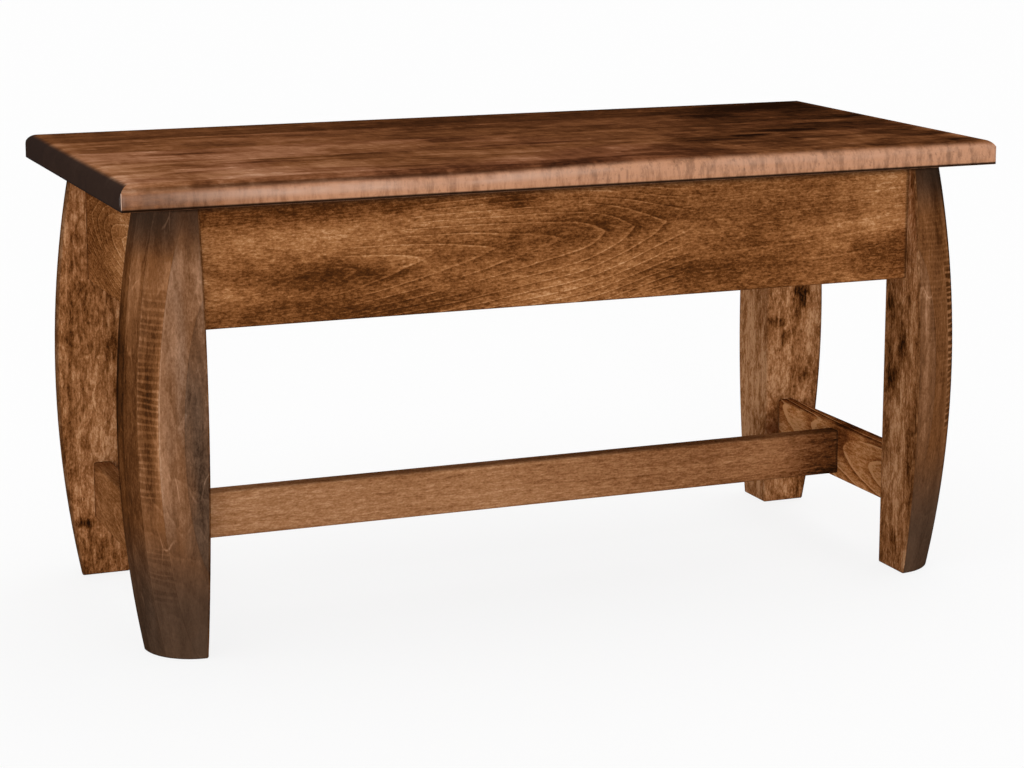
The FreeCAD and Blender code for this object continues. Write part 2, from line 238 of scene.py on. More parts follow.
class Wood(Shader):
    """Stained maple with its grain along one axis.

    Its tone is a running sum, 0 for the darkest stain and 1 for the lightest.
    """

    def __init__(self, name, axis, seed, tone):
        super().__init__(bpy.data.materials.new(name))
        coordinates = self.add("ShaderNodeTexCoord", {})
        self.place = coordinates.outputs["Object"]
        self.normal = coordinates.outputs["Normal"]
        self.x, self.y, self.z = self.split(self.place)
        self.axis = axis
        self.along = (self.x, self.y, self.z)[axis]
        self.seed = seed
        self.draws = 0
        self.tone = tone
        self.ring_push = 0.0

    def grain_noise(self, along, across, detail=2.0, roughness=0.5, distortion=0.0):
        """Noise with its own number of features in a metre along and across the grain."""
        scale = [across, across, across]
        scale[self.axis] = along
        self.draws += 1
        shift = [self.seed * by_seed + self.draws * by_draw for by_seed, by_draw in NOISE_SHIFTS]
        place = self.vector("MULTIPLY_ADD", self.place, scale, shift)
        return self.noise(place, detail, roughness, distortion)

    def lift(self, amount, gain, centre=0.0):
        """Makes the tone lighter by gain times how far amount is above its centre."""
        self.tone = self.straight(self.math("SUBTRACT", amount, centre), gain, self.tone)

    def settle(self, share, level):
        """Draws the tone towards one level."""
        self.tone = self.straight(self.math("SUBTRACT", level, self.tone), share, self.tone)

    def near(self, mark, along, across, ragged):
        """1 at a mark's centre, falling to 0 at its reach along each axis, with a ragged edge."""
        offset = self.vector("DIVIDE", self.vector("SUBTRACT", self.place, mark.centre), mark.reach)
        edge = self.math("SUBTRACT", self.grain_noise(along, across, 3.0, 0.6), 0.5)
        return self.ease(self.straight(edge, ragged, self.length(offset)), 1.0, 0.1)

    def smudge(self, mark):
        """A soft dark patch, of stain or of painted shade, or a pale one, of paler stain or painted light,
        where its depth is below 0.
        """
        self.lift(self.near(mark, along=14, across=36, ragged=0.75), -mark.depth)

    def knot(self, mark):
        """A dark knot with grain drawn through it, which the growth rings bend round."""
        around = self.near(mark, along=50, across=120, ragged=1.6)
        drawn = self.ease(self.grain_noise(25, 420), 0.35, 0.6, 0.55, 1.0)
        self.lift(self.times(around, drawn), -mark.depth)
        self.ring_push = self.straight(around, KNOT_RING_PUSH, self.ring_push)

    def rings(self, point, direction, spacing, wobble, pale, dark, share=1.0):
        """Growth rings about a pith line, as thin pale lines with a soft dark side."""
        pith = Vector(direction).normalized()
        offset = self.vector("SUBTRACT", self.place, point)
        radius = self.length(self.vector("CROSS_PRODUCT", offset, tuple(pith)))
        sway = self.math("SUBTRACT", self.grain_noise(5, 22, 3.0), 0.5)
        radius = self.math("ADD", self.straight(sway, wobble, radius), self.ring_push)
        step = self.math("FRACT", self.math("DIVIDE", radius, spacing))
        line = self.times(self.ease(step, 0.82, 0.94), self.ease(step, 1.0, 0.96))
        shadow = self.ease(step, 0.45, 0.0)
        broken = self.times(self.ease(self.grain_noise(9, 30), 0.30, 0.50, 0.2, 1.0), share)
        self.lift(self.times(line, broken), pale)
        self.lift(self.times(shadow, broken), -dark)

    def grain(self, fleck, speck, mottle, share=1.0):
        """Flecks along the grain, fine specks in the pores and soft mottling. Gives back the relief."""
        flecks = self.grain_noise(90, 480, 2.0, 0.6)
        specks = self.grain_noise(330, 620, 2.0, 0.7)
        mottling = self.grain_noise(45, 95, 3.0, 0.6, 0.8)
        for pattern, gain in ((flecks, fleck), (specks, speck), (mottling, mottle)):
            self.lift(pattern, self.times(share, gain), 0.5)
        return self.math("ADD", flecks, specks)

    def crackle(self, gain, along, across, share=1.0, detail=4.0, swirl=1.2):
        """Small patches with crisp edges, where the stain dried unevenly."""
        patches = self.ease(self.grain_noise(along, across, detail, 0.6, swirl), 0.38, 0.62, -0.5, 0.5)
        self.lift(self.times(patches, share), gain)

    def clouds(self, gain, along, across, share=1.0):
        """Broad soft patches of darker and paler stain."""
        patches = self.grain_noise(along, across, 1.5, 0.5, 0.6)
        self.lift(patches, self.times(share, gain), 0.5)

    def streaks(self, dark, pale, along, across, share=1.0):
        """Streaks along the grain, some dark and some pale."""
        lines = self.grain_noise(along, across, 2.0, 0.5, 1.0)
        self.lift(self.ease(lines, 0.52, 0.68), self.times(share, -dark))
        self.lift(self.ease(lines, 0.46, 0.32), self.times(share, pale))

    def fade(self, start, end, depth):
        """Darker towards one end of a piece. On the rails this is painted shade near the joint at that end."""
        self.lift(self.ease(self.along, start, end), -depth)

    def curl(self, pitch, tilt, gain, mask):
        """Dark ribs of curly figure across the grain, where mask is 1, with thin pale lines between."""
        sway = self.times(self.grain_noise(18, 18), 1.6)
        sway = self.straight(self.grain_noise(65, 7), 1.7, sway)
        slant = self.straight(self.x, tilt, self.along)
        turns = self.straight(slant, 1 / pitch, sway)
        wave = self.math("SINE", self.times(turns, 2 * math.pi))
        self.lift(self.times(self.ease(wave, -0.55, -0.05), mask), -gain)
        self.lift(self.times(self.ease(wave, -0.55, -0.95), mask), 0.45 * gain)

    def scratches(self, gain, mask):
        """Pale hairline scratches that run roughly with the grain."""
        scale = [30.0, 30.0, 30.0]
        scale[self.axis] = 8.0
        bend = self.vector("MULTIPLY_ADD", self.place, scale, (self.seed, 0, 0))
        stray = self.add("ShaderNodeTexNoise", {"Vector": bend, "Scale": 1.5, "Detail": 2.0}).outputs[1]
        cells = {"Vector": self.vector("MULTIPLY_ADD", stray, (0.35, 0.35, 0.35), bend), "Scale": 1.0}
        edge = self.add("ShaderNodeTexVoronoi", cells, feature="DISTANCE_TO_EDGE").outputs[0]
        patches = self.ease(self.grain_noise(14, 40), 0.56, 0.68)
        self.lift(self.times(self.ease(edge, 0.018, 0.0), patches, mask), gain)

    def ends(self, start, end, depth):
        """Dark end grain, where the surface turns across the grain."""
        across = self.math("ABSOLUTE", self.split(self.normal)[self.axis])
        return self.ease(across, start, end, 0.0, depth)

    def square_edges(self, depth):
        """The eased edges of a piece whose faces are square to the axes."""
        turns = self.split(self.vector("ABSOLUTE", self.normal))
        largest = self.math("MAXIMUM", self.math("MAXIMUM", turns[0], turns[1]), turns[2])
        return self.ease(largest, 0.985, 0.85, 0.0, depth)

    def joint_lines(self, joint):
        """Dark lines of stain and painted shade where both ends of a rail meet other pieces, as far from the
        middle as the joint.
        """
        return self.ease(self.math("ABSOLUTE", self.along), joint - 0.004, joint - 0.001, 0.0, 0.6)

    def toned(self, stain):
        """The colour that a stain gives at the tone so far."""
        return self.ramp(self.tone, stain)

    def coat(self, stain, patches, end_mask, relief, rough, lacquer=0.0):
        """The finished surface: stain by tone, patches of other colours, dark ends and lacquer."""
        colour = self.toned(stain)
        for mask, shade in patches:
            colour = self.mix(mask, colour, shade)
        colour = self.mix(end_mask, colour, END_GRAIN)
        roughness = self.ease(self.grain_noise(14, 60), 0.3, 0.7, rough[0], rough[1])
        roughness = self.straight(end_mask, 0.3, roughness)
        height = self.times(relief, self.opposite(end_mask))
        finish = {
            "Specular IOR Level": WOOD_GLOSS,
            "Coat Weight": lacquer,
            "Coat Roughness": LACQUER_ROUGHNESS,
        }
        return self.close(colour, roughness, height, GRAIN_DEPTH, **finish)


def seat_wood(name, seed, tone, rose, bold, pith, smudges):
    """A plank of the seat, with brushy patches of stain, near-black ends, and long edges that are rubbed and
    carry painted shade, sheen, highlight and a shadow line.
    """
    wood = Wood(name, X_AXIS, seed, tone)
    relief = seat_figure(wood, bold, pith, smudges)
    turn_x, turn_y, turn_z = wood.split(wood.vector("ABSOLUTE", wood.normal))
    side = wood.ease(turn_y, 0.05, 0.25)
    drop = wood.math("SUBTRACT", SEAT_TOP, wood.z)
    above = wood.math("SUBTRACT", wood.z, SEAT_BOTTOM)
    left = wood.ease(wood.x, 0.10, -0.18)
    seat_shade(wood, side, drop, left)
    rosy = wood.ease(wood.grain_noise(5, 8), 0.40, 0.64, 0.0, rose)
    rosy = wood.times(rosy, wood.ease(wood.x, 0.25, -0.05, 0.4, 1.0))
    lead = wood.math("SUBTRACT", turn_x, turn_y)
    # A pale line up each corner of the seat, a painted glint
    corner = wood.times(wood.ease(wood.distance(lead, 0.0), 0.25, 0.05), wood.ease(turn_x, 0.35, 0.55))
    # A painted shadow line along the seat's lower edge
    sole_shadow = wood.times(wood.ease(above, 0.0036, 0.0020), wood.ease(turn_z, 0.98, 0.80, 0.0, 0.95))
    patches = [
        (rosy, wood.toned(ROSE_STAIN)),
        *seat_edge(wood, side, drop, left),
        (wood.times(corner, 0.75), WORN_PALE_AND_HIGHLIGHT),
        (sole_shadow, PAINTED_SHADOW_LINE),
    ]
    ends = wood.times(wood.ends(0.12, 0.65, 0.97), wood.ease(lead, 0.05, 0.20))
    lacquer = wood.times(side, wood.ease(drop, 0.004, 0.010, 0.0, 0.5), wood.ease(above, 0.004, 0.008))
    return wood.coat(SEAT_STAIN, patches, ends, relief, SEAT_ROUGHNESS, lacquer)


def seat_figure(wood, bold, pith, smudges):
    """Grain and brushy stain on the seat, darker towards the right, with painted shade beyond a slanted line,
    painted glints, and a pale line along each end that is rubbed wear and painted highlight. Gives back the
    relief.
    """
    wood.fade(start=-0.36, end=-0.06, depth=0.13)
    wood.fade(start=-0.05, end=0.40, depth=0.10)
    # Painted shade beyond a slanted line across the seat, where a reflection edge falls
    slant = wood.straight(wood.y, -0.627, wood.x)
    wood.lift(wood.ease(slant, 0.17, 0.22), -0.10)
    wood.rings(pith, (1, 0.03, 0.02), spacing=0.024, wobble=0.05, pale=0.03, dark=0.05)
    relief = wood.grain(fleck=0.45, speck=0.25, mottle=0.12)
    wood.clouds(0.40, along=5, across=8, share=bold)
    wood.crackle(0.20, along=15, across=25, share=bold, detail=2.5, swirl=0.25)
    wood.streaks(dark=0.16, pale=0.12, along=8, across=30, share=bold)
    wood.lift(wood.grain_noise(95, 15, 2.0, 0.6), 0.28 * bold, 0.5)
    # Small pale spots, painted glints
    wood.lift(wood.ease(wood.grain_noise(60, 70), 0.64, 0.72), 0.12)
    for mark in smudges:
        wood.smudge(mark)
    # A pale line on top along each end, partly rubbed wear and partly painted highlight
    from_end = wood.math("SUBTRACT", SEAT_END - SEAT_ROUNDOVER, wood.math("ABSOLUTE", wood.x))
    wood.lift(wood.ease(from_end, 0.014, 0.002), 0.10)
    return relief


def seat_shade(wood, side, drop, left):
    """Painted shade on the long edges: along the top at the left, and lower down towards the left end."""
    from_left = wood.math("ADD", wood.x, SEAT_END)
    rim_shade = wood.times(left, wood.ease(from_left, 0.0, 0.12, 0.2, 1.0), wood.ease(drop, 0.0060, 0.0030))
    wood.lift(wood.times(side, rim_shade), -0.18)
    shade = wood.times(wood.ease(drop, 0.006, 0.010), wood.ease(from_left, 0.18, 0.0, 0.06, 0.32))
    wood.lift(wood.times(side, shade), -1.0)


def seat_edge(wood, side, drop, left):
    """The long edges of the seat: a dark line of painted shade on the round, a rubbed face lightened partly as
    painted sheen, and a pale round that is a painted highlight over wear, fading into painted shade towards
    the left end.
    """
    strokes = wood.scaled_noise(wood.place, (90, 90, 25), 4.0, 0.7)
    patchy = wood.scaled_noise(wood.place, (11, 60, 60), 3.0, 0.6)
    specks = wood.scaled_noise(wood.place, (260, 260, 160), 3.0, 0.7)
    from_left = wood.math("ADD", wood.x, SEAT_END)
    # The pale bands fade into painted shade towards the left end
    lit = wood.ease(from_left, 0.0, 0.20, 0.22, 1.0)
    lower = wood.straight(wood.opposite(left), 0.0045, drop)
    # A dark line of painted shade part way down the round
    lip = wood.times(wood.ease(drop, 0.0024, 0.0042), wood.ease(drop, 0.0082, 0.0054))
    lip = wood.times(lip, wood.straight(left, 0.55, 0.05), wood.ease(from_left, 0.0, 0.12, 0.5, 1.0))
    # The rubbed face, paler partly as painted sheen
    face = wood.times(wood.ease(lower, 0.0050, 0.0100), wood.ease(strokes, 0.36, 0.58, 0.48, 1.0))
    face = wood.times(face, wood.ease(specks, 0.28, 0.46, 0.55, 1.0), lit)
    # A pale band at the foot of the round, a painted highlight over wear
    worn_highlight = wood.times(wood.ease(lower, 0.0065, 0.0115), wood.ease(lower, 0.0190, 0.0130))
    worn_highlight = wood.times(worn_highlight, wood.ease(patchy, 0.34, 0.60, 0.10, 0.52), wood.straight(left, 0.6, 0.4), lit)
    bands = ((lip, BURNISHED_AND_SHADE), (face, RUBBED_AND_SHEEN), (worn_highlight, WORN_PALE_AND_HIGHLIGHT))
    return [(wood.times(mask, side), shade) for mask, shade in bands]


def leg_wood(name, seed, tone, sides, plies, rim_shade, ribs, cross, knots, smudges):
    """A leg glued up from plies, with warm flat faces and a smoother bowed face, greyish there as painted
    sheen. The bowed face is darker at the top, as stain and painted shade under the seat, and at the foot as
    painted shade.
    """
    wood = Wood(name, Z_AXIS, seed, tone)
    out_x = wood.straight(wood.x, sides[0], -LEG_INNER_X)
    out_y = wood.straight(wood.y, sides[1], -LEG_INNER_Y)
    outward = Vector((sides[0], sides[1], 0.0)).normalized()
    bowed = wood.ease(wood.dot(wood.normal, tuple(outward)), 0.3, 0.75)
    crown = wood.times(wood.ease(wood.z, 0.365, 0.425), bowed)
    foot = wood.times(wood.ease(wood.z, 0.17, 0.04), bowed)
    ply = count_plies(wood, out_x, out_y)
    # Painted shade on the outer plies of the bowed face, on the side that turns away
    wood.lift(wood.times(wood.ease(ply, 2.55, 2.95), bowed), -rim_shade)
    grey_sheen = leg_plies(wood, ply, plies, bowed, crown, foot)
    for mark in knots:
        wood.knot(mark)
    for mark in smudges:
        wood.smudge(mark)
    relief = leg_figure(wood, sides, bowed)
    leg_ribs(wood, ply, bowed, **ribs)
    curly = wood.ease(wood.grain_noise(12, 20), 0.42, 0.6)
    wood.curl(pitch=0.006, tilt=0.03, gain=cross, mask=wood.times(bowed, curly))
    # Painted shade towards the foot, and stain with painted shade towards the top under the seat
    wood.settle(wood.times(foot, 0.7), 0.30)
    wood.settle(wood.times(crown, 0.7), 0.20)
    wood.scratches(0.22, bowed)
    seam = wood.ease(wood.math("PINGPONG", ply, 0.5), 0.03, 0.0, 0.0, 0.2)
    patches = [
        # The bowed face's greyish tint is a painted sheen
        (grey_sheen, wood.toned(GREY_STAIN_AND_SHEEN)),
        (wood.times(seam, bowed), BURNISHED_AND_SHADE),
        (leg_edges(wood, out_x, out_y), BURNISHED_AND_SHADE),
        # A painted shadow line along the top of the leg, under the seat
        (wood.ease(wood.z, LEG_TOP - 0.0080, LEG_TOP - 0.0035, 0.0, 0.8), PAINTED_SHADOW_LINE),
    ]
    return wood.coat(LEG_STAIN, patches, wood.ends(0.5, 0.9, 0.9), relief, FRAME_ROUGHNESS)


def count_plies(wood, out_x, out_y):
    """Plies counted from the front of a front leg, or the back of a rear one. The outer ones are thinner."""
    across = wood.straight(out_x, PLY_TURN[0], PLY_OFFSET)
    ply = wood.math("DIVIDE", wood.straight(out_y, PLY_TURN[1], across), PLY_THICKNESS)
    outer = wood.math("MINIMUM", wood.math("SUBTRACT", ply, THIN_PLIES), 0.0)
    return wood.straight(outer, 0.3, ply)


def on_ply(wood, ply, number):
    """1 on one ply of a leg, and 0 on the others."""
    return wood.math("COMPARE", wood.math("FLOOR", ply), number, 0.1)


def leg_plies(wood, ply, plies, bowed, crown, foot):
    """Each ply's own tone on the bowed face of a leg. Gives back how much painted sheen tints the face
    greyish.
    """
    grey_sheen = wood.times(wood.math("MAXIMUM", crown, foot), 0.9)
    for number, (change, greyness) in enumerate(plies):
        here = wood.times(on_ply(wood, ply, number), bowed)
        wood.lift(here, change)
        grey_sheen = wood.math("MAXIMUM", grey_sheen, wood.times(here, greyness))
    patchy = wood.ease(wood.grain_noise(5, 26), 0.34, 0.58, 0.55, 1.0)
    return wood.math("MAXIMUM", wood.times(grey_sheen, patchy), wood.times(foot, 0.85))


def leg_figure(wood, sides, bowed):
    """Rings, grain and stain of a leg, calmer on its bowed face. Gives back the relief."""
    flat = wood.opposite(bowed)
    pith = (sides[0] * LEG_INNER_X, sides[1] * (LEG_INNER_Y - 0.03), 0.2)
    wood.rings(pith, (0.04, 0.05, 1), spacing=0.007, wobble=0.03, pale=0.05, dark=0.05)
    relief = wood.grain(fleck=0.7, speck=0.9, mottle=0.7, share=wood.straight(flat, 0.55, 0.45))
    wood.crackle(0.26, along=50, across=110, share=flat)
    calm = wood.straight(flat, 0.5, 0.5)
    wood.clouds(0.9, along=5, across=16, share=calm)
    wood.streaks(dark=0.18, pale=0.14, along=4, across=46, share=calm)
    brush = wood.math("SUBTRACT", wood.grain_noise(3, 60, 2.0, 0.5, 0.3), 0.5)
    wood.lift(wood.times(brush, bowed), 0.6)
    return relief


def leg_ribs(wood, ply, bowed, curly_ply, low, high, gain):
    """Curly ribs on one ply of a leg's bowed face between pale glue lines, fainter below a plain gap."""
    tall = wood.times(wood.ease(wood.z, low, low + 0.02), wood.ease(wood.z, high, high - 0.05))
    plain = wood.ease(wood.distance(wood.z, PLAIN_GAP_HEIGHT), 0.014, 0.028, 0.15, 1.0)
    tall = wood.times(tall, plain, wood.ease(wood.z, 0.120, 0.150, 0.6, 1.0), bowed)
    strong = wood.ease(wood.grain_noise(9, 9), 0.34, 0.56, 0.2, 1.0)
    ribbed = wood.times(on_ply(wood, ply, curly_ply), tall, strong)
    wood.curl(pitch=0.0068, tilt=0.04, gain=gain, mask=ribbed)
    for line, pale in ((curly_ply, 0.14), (curly_ply + 1, 0.10)):
        glue = wood.ease(wood.distance(ply, line), 0.09, 0.03)
        broken = wood.ease(wood.grain_noise(9, 9), 0.42, 0.56)
        wood.lift(wood.times(glue, broken, tall), pale)


def leg_edges(wood, out_x, out_y):
    """The three upright edges of a leg, darkened as burnish and painted shade, darkest at the two outer ones.
    """
    half = LEG_TOP / 2
    height = wood.math("DIVIDE", wood.math("SUBTRACT", wood.z, half), half)
    radius = wood.straight(wood.times(height, height), -LEG_BOW, LEG_BELLY_RADIUS)
    edges = 0.0
    for corner_x, corner_y, depth in ((0.0, 0.0, 0.15), (radius, 0.0, 0.6), (0.0, radius, 0.4)):
        gap_x = wood.math("SUBTRACT", out_x, corner_x)
        gap_y = wood.math("SUBTRACT", out_y, corner_y)
        gap = wood.add("ShaderNodeCombineXYZ", {0: gap_x, 1: gap_y}).outputs[0]
        edges = wood.math("MAXIMUM", edges, wood.ease(wood.length(gap), 0.0036, 0.0010, 0.0, depth))
    return edges


def apron_wood(name, axis, seed, tone, pith, direction, joint, smudges=()):
    """A rail under the seat, with cathedral figure, a painted shadow below the seat, and dark lines of stain
    and painted shade where it meets the legs.
    """
    wood = Wood(name, axis, seed, tone)
    for mark in smudges:
        wood.smudge(mark)
    cathedral(wood, pith, direction)
    relief = wood.grain(fleck=0.6, speck=1.0, mottle=0.5)
    wood.crackle(0.07, along=60, across=130)
    wood.clouds(0.9, along=4, across=12)
    wood.streaks(dark=0.10, pale=0.08, along=3, across=30)
    # Painted shade towards the right end, near the leg
    wood.fade(start=0.34, end=0.41, depth=0.06)
    patches = [
        (wood.square_edges(0.4), BURNISHED_AND_SHADE),
        # A painted shadow along the top, under the seat's overhang
        (wood.ease(wood.z, LEG_TOP - 0.0125, LEG_TOP - 0.0045, 0.0, 0.8), BURNISHED_AND_SHADE),
        (wood.joint_lines(joint), BURNISHED_AND_SHADE),
    ]
    return wood.coat(APRON_STAIN, patches, wood.ends(0.3, 0.9, 0.9), relief, FRAME_ROUGHNESS)


def cathedral(wood, pith, direction):
    """Pointed growth rings in the middle of a rail, and finer, flatter ones to the right of them."""
    rise = wood.math("SUBTRACT", wood.straight(wood.along, -direction[2], wood.z), pith[2])
    lean = wood.math("MAXIMUM", wood.times(rise, 0.24), wood.times(rise, -0.10))
    wood.ring_push = wood.math("ADD", wood.ease(wood.along, 0.0, 0.13, 0.0, 0.010), lean)
    middle = wood.ease(wood.along, -0.27, -0.17, 0.3, 1.0)
    middle = wood.times(middle, wood.ease(wood.along, 0.14, 0.105, 0.12, 1.0))
    wood.rings(pith, direction, spacing=0.0058, wobble=0.006, pale=0.22, dark=0.14, share=middle)
    right = wood.ease(wood.along, 0.10, 0.18)
    deep_pith = (0, pith[1] + 0.06, 0.29)
    wood.rings(deep_pith, (1, 0.0, 0.075), spacing=0.0046, wobble=0.006, pale=0.10, dark=0.05, share=right)


def stretcher_wood(name, axis, seed, tone, stain, pith, direction, figure, grain, joint, dark, smudges=()):
    """A rail near the floor, with fine grain, and a darker top and end painted as shade."""
    wood = Wood(name, axis, seed, tone)
    # Painted shade towards the right end, near the joint
    wood.fade(start=-0.20, end=0.33, depth=0.5 * dark["end"])
    wood.fade(start=0.31, end=0.383, depth=dark["end"])
    for mark in smudges:
        wood.smudge(mark)
    gain = figure["gain"]
    wood.rings(pith, direction, figure["spacing"], wobble=0.006, pale=gain, dark=0.6 * gain)
    relief = wood.grain(fleck=grain, speck=grain, mottle=0.2)
    wood.clouds(0.5, along=4, across=12)
    wood.streaks(dark=0.08, pale=0.05, along=7, across=130)
    # Painted shade on the top face
    wood.lift(wood.ease(wood.split(wood.normal)[Z_AXIS], 0.6, 0.95), -dark["top"])
    patches = [(wood.square_edges(0.2), BURNISHED_AND_SHADE), (wood.joint_lines(joint), BURNISHED_AND_SHADE)]
    return wood.coat(stain, patches, wood.ends(0.3, 0.9, 0.9), relief, FRAME_ROUGHNESS)


def block_wood():
    """Bare sawn wood of the hidden corner blocks."""
    wood = Wood("bare_block_wood", Z_AXIS, seed=17.0, tone=0.5)
    relief = wood.grain(fleck=0.6, speck=0.5, mottle=0.4)
    wood.clouds(0.4, along=6, across=16)
    return wood.coat(BLOCK_STAIN, [], wood.ends(0.5, 0.9, 0.35), relief, BLOCK_ROUGHNESS)


def zinc_steel():
    """Zinc-plated steel with a cloudy spangle."""
    steel = Shader(bpy.data.materials.new("zinc_steel"))
    place = steel.add("ShaderNodeTexCoord", {}).outputs["Object"]
    cloud = steel.scaled_noise(place, (160, 160, 160), 3.0, 0.6)
    grain = steel.scaled_noise(place, (1500, 1500, 1500))
    roughness = steel.ease(cloud, 0.3, 0.7, *ZINC_ROUGHNESS)
    return steel.close(steel.ramp(cloud, ZINC), roughness, grain, SPANGLE_DEPTH, Metallic=1.0)


def floor_paper():
    """Pale seamless studio paper."""
    paper = Shader(bpy.data.materials.new("studio_paper"))
    place = paper.add("ShaderNodeTexCoord", {}).outputs["Object"]
    tooth = paper.scaled_noise(place, (900, 900, 900))
    surface = paper.add("ShaderNodeBsdfDiffuse", {"Color": paper.ramp(tooth, PAPER)})
    white = paper.add("ShaderNodeEmission", {"Color": WHITE, "Strength": 1.0})
    share = paper.times(paper.seen(), FLOOR_GLOW)
    both = paper.add("ShaderNodeMixShader", {0: share, 1: surface.outputs[0], 2: white.outputs[0]})
    paper.add("ShaderNodeOutputMaterial", {"Surface": both.outputs[0]})
    return paper.owner


def dress(node, material):
    """Gives a CAD node its material."""
    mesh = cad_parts[node].data
    mesh.materials.clear()
    mesh.materials.append(material)


def seat_mark(x, y, length, width, depth):
    """A smudge on top of the seat."""
    return Mark((x, y, SEAT_TOP), (length, width, SEAT_MARK_THROUGH), depth)


def apron_mark(x, z, length, height, depth):
    """A smudge on the front of the front apron."""
    return Mark((x, APRON_FACE, z), (length, RAIL_MARK_THROUGH, height), depth)


def stretcher_mark(y, z, length, height, depth):
    """A smudge on the inner side of the right stretcher."""
    return Mark((STRETCHER_INNER, y, z), (RAIL_MARK_THROUGH, length, height), depth)


def dress_seat():
    boards = {
        "seat_board_front": {
            "seed": 1.6, "tone": 0.61, "rose": 0.4, "bold": 1.0, "pith": (0, -0.14, 0.40),
            "smudges": [
                seat_mark(0.165, -0.100, 0.055, 0.022, 0.34),
                seat_mark(0.24, -0.078, 0.035, 0.016, 0.30),
                seat_mark(-0.25, -0.082, 0.10, 0.012, 0.18),
                seat_mark(-0.36, -0.115, 0.05, 0.016, 0.14),
            ],
        },
        "seat_board_front_inner": {
            "seed": 2.0, "tone": 0.58, "rose": 0.25, "bold": 0.9, "pith": (0, -0.02, 0.52),
            "smudges": [
                seat_mark(0.30, -0.052, 0.05, 0.018, 0.32),
                seat_mark(0.03, -0.060, 0.10, 0.010, 0.20),
                seat_mark(-0.34, -0.013, 0.06, 0.012, 0.20),
            ],
        },
        "seat_board_rear_inner": {
            "seed": 3.0, "tone": 0.49, "rose": 0.1, "bold": 0.7, "pith": (0, 0.07, 0.38),
            "smudges": [
                seat_mark(-0.39, 0.09, 0.08, 0.012, 0.20),
                seat_mark(-0.27, 0.105, 0.07, 0.014, 0.16),
            ],
        },
        "seat_board_rear": {
            "seed": 4.0, "tone": 0.35, "rose": 0.0, "bold": 0.5, "pith": (0, 0.17, 0.50),
            "smudges": [],
        },
    }
    for node, look in boards.items():
        dress(node, seat_wood(node + "_wood", **look))


def front_leg_looks():
    """Looks of the front legs. Each ply has a change of tone and a greyness of painted sheen."""
    left = {
        "seed": 5.0, "tone": 0.48, "sides": (-1, -1), "rim_shade": 0.0, "cross": 0.0,
        "plies": [(0.03, 0.85), (0.09, 0.6), (0.03, 0.2), (-0.18, 0.15), (-0.32, 0.1)],
        "ribs": {"curly_ply": 2, "low": 0.045, "high": 0.37, "gain": 0.15},
        "knots": [],
        "smudges": [
            # A painted sheen: a pale streak near the top
            Mark((-0.394, -0.183, 0.40), (0.007, 0.02, 0.07), -0.22),
            # Dark top under the seat: stain and painted shade
            Mark((-0.410, -0.176, 0.42), (0.013, 0.02, 0.05), 0.20),
            Mark((-0.430, -0.150, 0.37), (0.03, 0.05, 0.10), -0.20),
        ],
    }
    right = {
        "seed": 6.0, "tone": 0.57, "sides": (1, -1), "rim_shade": 0.30, "cross": 0.05,
        "plies": [(-0.10, 0.3), (-0.11, 0.12), (-0.09, 0.1), (-0.14, 0.1), (-0.14, 0.1)],
        "ribs": {"curly_ply": 2, "low": 0.10, "high": 0.36, "gain": 0.30},
        "knots": [
            Mark((LEG_INNER_X, -0.168, 0.240), (0.010, 0.012, 0.030), 0.70),
            Mark((LEG_INNER_X, -0.153, 0.206), (0.010, 0.016, 0.026), 0.40),
            Mark((LEG_INNER_X, -0.143, 0.283), (0.010, 0.010, 0.018), 0.50),
            Mark((LEG_INNER_X, -0.162, 0.031), (0.010, 0.010, 0.020), 0.40),
        ],
        "smudges": [
            Mark((LEG_INNER_X, -0.155, 0.25), (0.02, 0.04, 0.10), 0.12),
            # Dark top under the seat: stain and painted shade
            Mark((0.415, -0.185, 0.43), (0.07, 0.07, 0.05), 0.24),
            Mark((LEG_INNER_X, -0.155, 0.11), (0.02, 0.04, 0.07), -0.10),
        ],
    }
    return {"leg_front_left": left, "leg_front_right": right}


def rear_leg_looks():
    """Looks of the rear legs, which share their plies and ribs."""
    both = {
        "rim_shade": 0.0, "cross": 0.03,
        "plies": [(-0.04, 0.5), (0.02, 0.35), (0.0, 0.25), (-0.06, 0.2), (-0.25, 0.2)],
        "ribs": {"curly_ply": 2, "low": 0.05, "high": 0.36, "gain": 0.15},
    }
    left = {
        **both, "seed": 7.0, "tone": 0.61, "sides": (-1, 1),
        "knots": [Mark((-0.423, LEG_INNER_Y, 0.057), (0.014, 0.010, 0.008), 0.60)],
        "smudges": [
            Mark((-0.388, LEG_INNER_Y, 0.250), (0.014, 0.03, 0.03), 0.20),
            Mark((-0.409, LEG_INNER_Y, 0.350), (0.010, 0.03, 0.04), 0.20),
            Mark((-0.400, LEG_INNER_Y, 0.130), (0.06, 0.03, 0.12), -0.02),
        ],
    }
    right = {
        **both, "seed": 8.0, "tone": 0.72, "sides": (1, 1),
        "knots": [
            Mark((0.418, LEG_INNER_Y, 0.240), (0.018, 0.010, 0.024), 0.60),
            Mark((0.384, LEG_INNER_Y, 0.213), (0.012, 0.008, 0.013), 0.45),
            Mark((0.400, LEG_INNER_Y, 0.196), (0.026, 0.008, 0.016), 0.25),
            Mark((0.423, LEG_INNER_Y, 0.148), (0.014, 0.008, 0.014), 0.35),
        ],
        "smudges": [
            # Dark halo round the stretcher joint: stain and painted shade
            Mark((0.389, LEG_INNER_Y, 0.098), (0.024, 0.02, 0.038), 0.34),
            # Painted light lifting the inner flat face out of shade
            Mark((LEG_INNER_X, 0.165, 0.20), (0.008, 0.04, 0.25), -0.22),
        ],
    }
    return {"leg_rear_left": left, "leg_rear_right": right}


def dress_legs():
    looks = {**front_leg_looks(), **rear_leg_looks()}
    for node, look in looks.items():
        dress(node, leg_wood(node + "_wood", **look))


